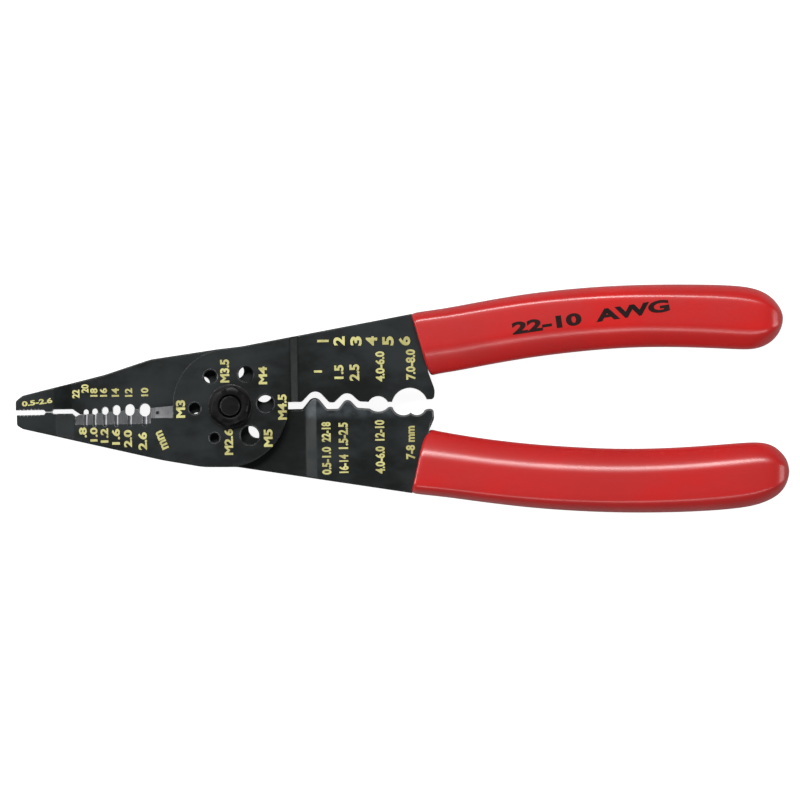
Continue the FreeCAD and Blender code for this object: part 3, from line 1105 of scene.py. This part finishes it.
@dataclass
class Studio:
    """Pale floor, soft lamps and the camera over the tool.

    Attributes:
        lamps: the softboxes.
        surround: brightness of the white surroundings.
        floor_grey: the floor's own colour.
        floor_drop: how far the floor is below the tool.
        width_seen: width of the view at the tool.
        distance: from the camera to the tool.
        centre: the middle of the view.
        roll_deg: turn of the camera about its line of sight.
        glow: brightness of the floor to the camera.
    """

    lamps: Sequence[Softbox] = (
        Softbox("key", (-140.0, 560.0, 840.0), (700.0, 230.0), 10.7),
        Softbox("left", (-760.0, 90.0, 370.0), (240.0, 460.0), 3.2),
        Softbox("right", (800.0, -60.0, 290.0), (220.0, 460.0), 1.5),
        Softbox("near", (60.0, -600.0, 640.0), (900.0, 150.0), 2.05),
    )
    surround: float = 0.12
    floor_grey: float = 0.32
    floor_drop: float = 0.05
    width_seen: float = 217.1
    distance: float = 1700.0
    centre: tuple[float, float, float] = (46.04, 0.82, 0.0)
    roll_deg: float = -1.0
    glow: float = 0.92

    def build(self) -> None:
        """Sets up everything round the tool."""
        self._floor()
        self._world()
        for lamp in self.lamps:
            self._hang(lamp)
        self._camera()

    def _floor(self) -> None:
        """A wide pale sheet just under the tool, softly lit from below like a light table."""
        bm = bmesh.new()
        bmesh.ops.create_grid(bm, x_segments=1, y_segments=1, size=4.0)
        bmesh.ops.translate(bm, vec=(0, 0, -self.floor_drop * MM), verts=bm.verts)
        mesh = bpy.data.meshes.new("floor")
        bm.to_mesh(mesh)
        bm.free()
        material, sketch, surface = new_material("pale_floor")
        surface.inputs["Base Color"].default_value = (self.floor_grey, self.floor_grey, self.floor_grey, 1.0)
        surface.inputs["Emission Color"].default_value = (1.0, 1.0, 1.0, 1.0)
        seen = sketch.add("ShaderNodeLightPath").outputs["Is Camera Ray"]
        sketch.put(sketch.math("MULTIPLY", seen, self.glow), surface.inputs["Emission Strength"])
        surface.inputs["Roughness"].default_value = 0.9
        surface.inputs["Specular IOR Level"].default_value = 0.1
        mesh.materials.append(material)
        floor = bpy.data.objects.new("floor", mesh)
        bpy.context.scene.collection.objects.link(floor)

    def _world(self) -> None:
        """Even white surroundings, and colours shown as they are."""
        world = bpy.data.worlds.new("studio")
        world.use_nodes = True
        backdrop = world.node_tree.nodes["Background"]
        backdrop.inputs["Color"].default_value = (1.0, 1.0, 1.0, 1.0)
        backdrop.inputs["Strength"].default_value = self.surround
        bpy.context.scene.world = world
        bpy.context.scene.view_settings.view_transform = "Standard"

    def _hang(self, softbox: Softbox) -> None:
        """Hangs a lamp aimed at the middle of the view.

        Args:
            softbox: the lamp.
        """
        data = bpy.data.lights.new(softbox.name, "AREA")
        data.shape = "RECTANGLE"
        data.size, data.size_y = softbox.size[0] * MM, softbox.size[1] * MM
        data.energy = softbox.power
        lamp = bpy.data.objects.new(softbox.name, data)
        lamp.visible_camera = False
        bpy.context.scene.collection.objects.link(lamp)
        aim = to_frame() @ Vector(self.centre)
        lamp.location = aim + Vector(softbox.spot) * MM
        lamp.rotation_mode = "QUATERNION"
        lamp.rotation_quaternion = (aim - lamp.location).to_track_quat("-Z", "Y")

    def _camera(self) -> None:
        """A long lens straight over the front face."""
        data = bpy.data.cameras.new("camera")
        data.lens = data.sensor_width * self.distance / self.width_seen
        data.clip_start, data.clip_end = 0.1, 20.0
        camera = bpy.data.objects.new("camera", data)
        bpy.context.scene.collection.objects.link(camera)
        camera.location = to_frame() @ (Vector(self.centre) + Vector((0, 0, self.distance)))
        camera.rotation_euler = (0.0, 0.0, math.radians(self.roll_deg))
        bpy.context.scene.camera = camera


# ---- the tool --------------------------------------------------------------------------------------------

UPPER_RINGS = (
    ((49.3, 24.0), (54.0, 7.1)), ((58.0, 25.3), (61.6, 8.35)), ((66.0, 26.7), (69.0, 9.7)),
    ((74.0, 28.05), (76.3, 10.9)), ((82.0, 29.2), (83.6, 11.95)), ((91.0, 30.1), (91.9, 12.85)),
    ((101.0, 30.8), (101.3, 13.65)), ((111.5, 31.1), (111.2, 14.1)), ((122.0, 31.05), (121.4, 13.95)),
    ((131.5, 30.85), (131.0, 13.5)), ((137.5, 30.5), (137.0, 13.1)), ((142.0, 29.9), (142.0, 12.85)),
    ((145.3, 28.7), (145.5, 13.9)), ((147.7, 26.9), (147.9, 15.6)), ((149.3, 24.8), (149.4, 17.6)),
    ((150.1, 23.0), (150.15, 19.5)),
)
LOWER_RINGS = (
    ((48.6, -24.3), (52.6, -7.1)), ((57.8, -25.6), (61.4, -8.7)), ((66.0, -26.95), (69.0, -10.05)),
    ((74.0, -28.1), (76.2, -11.05)), ((82.0, -29.15), (83.6, -11.95)), ((91.0, -30.0), (92.0, -12.65)),
    ((101.0, -30.7), (101.4, -13.35)), ((111.5, -31.05), (111.3, -13.6)), ((122.0, -31.1), (121.5, -13.45)),
    ((131.5, -30.8), (131.0, -12.95)), ((138.0, -30.3), (137.6, -12.55)), ((142.3, -29.6), (142.6, -12.3)),
    ((146.0, -28.3), (146.6, -12.95)), ((148.7, -26.6), (149.1, -15.0)), ((150.3, -24.4), (150.6, -16.9)),
    ((151.05, -22.4), (151.15, -18.6)),
)

# Heights of the printed faces: the front lever's joint, the flats past it, the rear lever's jaw and the grip.
FRONT_JOINT_FACE = height_of(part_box("front_lever")[1])
MIDDLE_FACE = height_of(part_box("rear_lever")[1])
REAR_JOINT_FACE = -0.05
GRIP_FACE = height_of(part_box("upper_grip")[1]) - 0.065

SCREW_SIZES = (
    Label("M3", -13.42, -0.58, 2.5, 4.8),
    Label("M3.5", -1.31, 9.5, 2.5, 6.3),
    Label("M4", 8.99, 8.12, 2.3, 4.8),
    Label("M4.5", 14.13, -0.52, 2.4, 6.9),
    Label("M5", 10.18, -8.86, 2.4, 4.8),
    Label("M2.6", -0.55, -9.76, 2.4, 7.0),
)
STRIP_MM = (
    Label(".8", -40.0, -6.5, 2.1, 2.8),
    Label("1.0", -37.03, -7.1, 2.0, 3.8),
    Label("1.2", -34.16, -7.4, 2.1, 3.9),
    Label("1.6", -31.07, -7.8, 2.2, 4.3),
    Label("2.0", -27.82, -8.35, 2.2, 4.7),
    Label("2.6", -23.87, -9.1, 2.4, 4.8),
    Label("mm", -18.6, -8.9, 1.9, 5.2, 112.0),
)
HANDLE_MM = (
    Label("1", 25.43, 17.19, 3.1, 0.65),
    Label("2", 29.77, 17.12, 3.1, 2.5),
    Label("3", 34.38, 17.04, 3.1, 2.5),
    Label("4", 38.59, 16.96, 3.1, 2.5),
    Label("5", 43.06, 16.89, 3.1, 2.5),
    Label("6", 47.54, 16.81, 3.1, 2.5),
    Label("1", 23.93, 8.94, 2.2, 0.6),
    Label("1.5", 29.62, 8.71, 2.5, 3.8),
    Label("2.5", 33.8, 8.5, 2.7, 4.5),
    Label("4.0-6.0", 40.77, 10.01, 2.5, 8.2),
    Label("7.0-8.0", 49.1, 10.4, 2.6, 8.2),
)
STRIP_AWG = tuple(
    Label(text, x, y, 2.0, 2.3)
    for text, x, y in (("22", -41.9, 3.99), ("20", -39.4, 5.4), ("18", -37.0, 4.31), ("16", -34.4, 4.27),
                       ("14", -31.2, 4.21), ("12", -27.58, 4.14), ("10", -23.21, 4.2))
)
NOSE_RANGE = (Label("0.5-2.6", -52.35, 1.95, 1.45, 8.3, 6.4),)
CRIMP_SIZES = (
    Label("22-18", 25.87, -7.5, 2.5, 5.4),
    Label("0.5-1.0", 25.87, -15.3, 2.5, 7.5),
    Label("1.5-2.5", 30.49, -8.6, 2.6, 7.2),
    Label("16-14", 30.49, -16.2, 2.6, 5.0),
    Label("12-10", 40.39, -7.3, 2.6, 5.6),
    Label("4.0-6.0", 40.39, -15.35, 2.6, 7.4),
    Label("7-8 mm", 48.68, -10.75, 2.5, 9.0),
)
GRIP_RANGE = (Label("22-10  AWG", 98.0, 22.4, 3.4, 43.0, 7.6),)


def main() -> None:
    """Builds the tool, lights it and reports each piece."""
    logging.basicConfig(level=logging.INFO, format="%(name)s %(message)s")
    effects = Effects()
    Levers().dress(effects)
    vinyl = Vinyl("red_vinyl").build(effects)
    Grip("upper_sleeve", "upper_grip", Half.FRONT, UPPER_RINGS, (150.4, 21.4), 0.6).build(vinyl)
    Grip("lower_sleeve", "lower_grip", Half.REAR, LOWER_RINGS, (151.4, -20.4), 1.6).build(vinyl)
    fastener = OxideSteel("fastener_oxide", dark=(0.0035, 0.003, 0.003, 1.0),
                          light=(0.007, 0.006, 0.006, 1.0), gloss=0.2, wear_and_highlight=0.3)
    PivotHardware().build(fastener.build(effects))
    khaki = Ink("khaki_ink", (0.55, 0.52, 0.20, 1.0), (0.34, 0.31, 0.11, 1.0)).build(effects)
    black = Ink("black_ink", (0.006, 0.003, 0.003, 1.0), (0.02, 0.004, 0.004, 1.0), 0.7, 0.15).build(effects)
    prints = (
        (Print("front_print", Half.FRONT, Slot.STEEL,
               ((FRONT_JOINT_FACE, SCREW_SIZES + STRIP_MM), (MIDDLE_FACE, HANDLE_MM))), khaki),
        (Print("rear_print", Half.REAR, Slot.STEEL,
               ((REAR_JOINT_FACE, STRIP_AWG), (MIDDLE_FACE, NOSE_RANGE + CRIMP_SIZES))), khaki),
        (Print("grip_print", Half.FRONT, Slot.VINYL, ((GRIP_FACE, GRIP_RANGE),), weight=0.045), black),
    )
    for layer, ink in prints:
        layer.build(ink)
    Studio().build()


if __name__ == "__main__":
    main()
